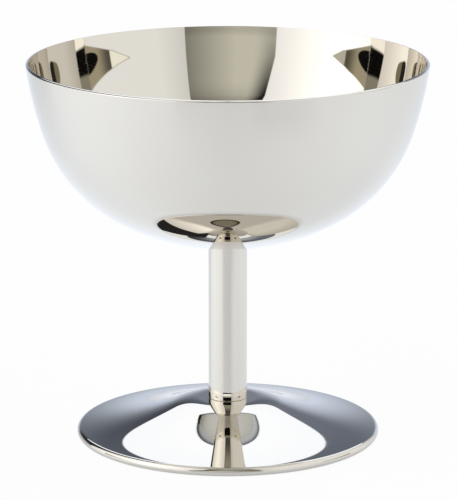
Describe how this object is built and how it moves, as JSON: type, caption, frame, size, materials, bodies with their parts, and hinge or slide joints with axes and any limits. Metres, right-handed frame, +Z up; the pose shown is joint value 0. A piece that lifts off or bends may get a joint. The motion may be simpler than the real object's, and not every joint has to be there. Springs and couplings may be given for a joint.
{
  "type": "dessert coupe",
  "caption": "Polished steel dessert coupe: deep round bowl on a short straight stem and a domed round foot, for serving ice cream or fruit.",
  "frame": {"origin": "centre of the flat ring under the foot, on the surface that the coupe stands on", "axes": "+Z up along the axis of revolution, X and Y level and equal in every way"},
  "size_m": [0.1, 0.1, 0.0957],
  "materials": {
    "polished_steel": "mirror polished",
    "turned_steel": "bright turned"
  },
  "bodies": {
    "root": {"bowl": "polished_steel", "stem_tube": "polished_steel", "foot": "polished_steel", "weld_stud": "turned_steel", "foot_washer": "turned_steel", "foot_nut": "turned_steel"}
  },
  "joints": []
}
